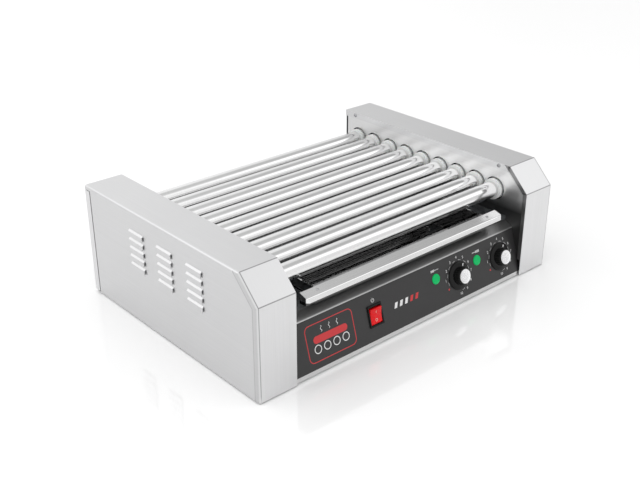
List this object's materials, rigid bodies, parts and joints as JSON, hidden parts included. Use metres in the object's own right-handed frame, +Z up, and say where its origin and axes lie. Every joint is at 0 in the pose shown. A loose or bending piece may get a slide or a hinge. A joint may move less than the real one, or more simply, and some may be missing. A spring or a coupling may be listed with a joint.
{
  "type": "hot dog roller grill",
  "caption": "Counter-top roller grill: a bed of heated steel rollers between two chamfered end housings, over a slide-out drip tray and a leaning control panel.",
  "frame": {"origin": "on the counter, under the middle of the grill", "axes": "+X along the rollers, to the right of someone facing the controls; -Y towards that person; +Z up"},
  "size_m": [0.5848, 0.4132, 0.1735],
  "materials": {
    "brushed_stainless": "fine straight brushed grain, satin",
    "polished_stainless": "polished",
    "galvanised_steel": "galvanised, dull",
    "ptfe": "waxy white",
    "drive_steel": "oiled machined steel",
    "zinc_screws": "zinc plated",
    "motor_case": "plain zinc plated case",
    "element_sheath": "heat tinted stainless sheath",
    "ceramic": "unglazed",
    "panel_black": "matt charcoal film",
    "black_plastic": "moulded, semi-matt",
    "spun_aluminium": "spun, bright",
    "red_plastic": "gloss",
    "green_lens": "translucent, gloss",
    "foot_rubber": "matt"
  },
  "bodies": {
    "chassis": {"base_pan": "galvanised_steel", "case_screws": "zinc_screws", "control_overlay": "panel_black", "cord_gland": "black_plastic", "drive_chain": "drive_steel", "element_insulators": "ceramic", "feet": "foot_rubber", "front_panel": "brushed_stainless", "gearmotor": "motor_case", "heating_elements": "element_sheath", "indicator_lamps": "green_lens", "left_bearing_plate": "brushed_stainless", "left_bearing_rail": "galvanised_steel", "left_element_bracket": "galvanised_steel", "left_end_cap": "brushed_stainless", "left_roller_bushes": "ptfe", "rail_spacers": "galvanised_steel", "rear_panel": "brushed_stainless", "right_bearing_plate": "brushed_stainless", "right_bearing_rail": "galvanised_steel", "right_element_bracket": "galvanised_steel", "right_end_cap": "brushed_stainless", "right_roller_bushes": "ptfe", "roller_chain": "drive_steel", "switch_housing": "black_plastic", "terminal_block": "black_plastic", "thermostats": "black_plastic", "tray_deck": "galvanised_steel", "tray_guides": "galvanised_steel"},
    "roller_1": {"roller_1": "polished_stainless", "roller_sprocket_1": "drive_steel"},
    "roller_2": {"roller_2": "polished_stainless", "roller_sprocket_2": "drive_steel"},
    "roller_3": {"roller_3": "polished_stainless", "roller_sprocket_3": "drive_steel"},
    "roller_4": {"roller_4": "polished_stainless", "roller_sprocket_4": "drive_steel"},
    "roller_5": {"roller_5": "polished_stainless", "roller_sprocket_5": "drive_steel", "driven_sprocket": "drive_steel"},
    "roller_6": {"roller_6": "polished_stainless", "roller_sprocket_6": "drive_steel"},
    "roller_7": {"roller_7": "polished_stainless", "roller_sprocket_7": "drive_steel"},
    "roller_8": {"roller_8": "polished_stainless", "roller_sprocket_8": "drive_steel"},
    "roller_9": {"roller_9": "polished_stainless", "roller_sprocket_9": "drive_steel"},
    "drive_shaft": {"motor_shaft": "drive_steel", "drive_sprocket": "drive_steel"},
    "drip_tray": {"drip_tray": "polished_stainless", "tray_handle": "polished_stainless"},
    "power_rocker": {"power_rocker": "red_plastic"},
    "front_heat_knob": {"front_heat_knob": "black_plastic", "front_knob_cap": "spun_aluminium", "front_thermostat_stem": "drive_steel"},
    "back_heat_knob": {"back_heat_knob": "black_plastic", "back_knob_cap": "spun_aluminium", "back_thermostat_stem": "drive_steel"}
  },
  "joints": [
    {"name": "roller_1_spin", "type": "hinge", "parent": "chassis", "child": "roller_1", "pos_m": [0, -0.1375, 0.1297], "axis": [1, 0, 0], "continuous": true, "deforming": ["roller_chain"]},
    {"name": "roller_2_spin", "type": "hinge", "parent": "chassis", "child": "roller_2", "pos_m": [0, -0.0994, 0.1297], "axis": [1, 0, 0], "continuous": true},
    {"name": "roller_3_spin", "type": "hinge", "parent": "chassis", "child": "roller_3", "pos_m": [0, -0.0613, 0.1297], "axis": [1, 0, 0], "continuous": true},
    {"name": "roller_4_spin", "type": "hinge", "parent": "chassis", "child": "roller_4", "pos_m": [0, -0.0232, 0.1297], "axis": [1, 0, 0], "continuous": true},
    {"name": "roller_5_spin", "type": "hinge", "parent": "chassis", "child": "roller_5", "pos_m": [0, 0.0149, 0.1297], "axis": [1, 0, 0], "continuous": true},
    {"name": "roller_6_spin", "type": "hinge", "parent": "chassis", "child": "roller_6", "pos_m": [0, 0.053, 0.1297], "axis": [1, 0, 0], "continuous": true},
    {"name": "roller_7_spin", "type": "hinge", "parent": "chassis", "child": "roller_7", "pos_m": [0, 0.0911, 0.1297], "axis": [1, 0, 0], "continuous": true},
    {"name": "roller_8_spin", "type": "hinge", "parent": "chassis", "child": "roller_8", "pos_m": [0, 0.1292, 0.1297], "axis": [1, 0, 0], "continuous": true},
    {"name": "roller_9_spin", "type": "hinge", "parent": "chassis", "child": "roller_9", "pos_m": [0, 0.1673, 0.1297], "axis": [1, 0, 0], "continuous": true},
    {"name": "drive_shaft_spin", "type": "hinge", "parent": "chassis", "child": "drive_shaft", "pos_m": [0.26, 0.0149, 0.0535], "axis": [1, 0, 0], "continuous": true, "deforming": ["drive_chain"]},
    {"name": "tray_slide", "type": "slide", "parent": "chassis", "child": "drip_tray", "axis": [0, -1, 0], "range_m": [0, 0.32]},
    {"name": "power_switch_rock", "type": "hinge", "parent": "chassis", "child": "power_rocker", "pos_m": [-0.077, -0.18448, 0.04166], "axis": [-1, 0, 0], "range_deg": [0, 18]},
    {"name": "front_heat_knob_turn", "type": "hinge", "parent": "chassis", "child": "front_heat_knob", "pos_m": [0.096, -0.18736, 0.04252], "axis": [0, 0.9583, -0.2857], "range_deg": [-150, 150]},
    {"name": "back_heat_knob_turn", "type": "hinge", "parent": "chassis", "child": "back_heat_knob", "pos_m": [0.1895, -0.18736, 0.04252], "axis": [0, 0.9583, -0.2857], "range_deg": [-150, 150]}
  ],
  "couplings": [
    {"joint": "roller_2_spin", "follows": "roller_1_spin", "ratio": 1},
    {"joint": "roller_3_spin", "follows": "roller_1_spin", "ratio": 1},
    {"joint": "roller_4_spin", "follows": "roller_1_spin", "ratio": 1},
    {"joint": "roller_5_spin", "follows": "roller_1_spin", "ratio": 1},
    {"joint": "roller_6_spin", "follows": "roller_1_spin", "ratio": 1},
    {"joint": "roller_7_spin", "follows": "roller_1_spin", "ratio": 1},
    {"joint": "roller_8_spin", "follows": "roller_1_spin", "ratio": 1},
    {"joint": "roller_9_spin", "follows": "roller_1_spin", "ratio": 1},
    {"joint": "drive_shaft_spin", "follows": "roller_1_spin", "ratio": 1}
  ]
}
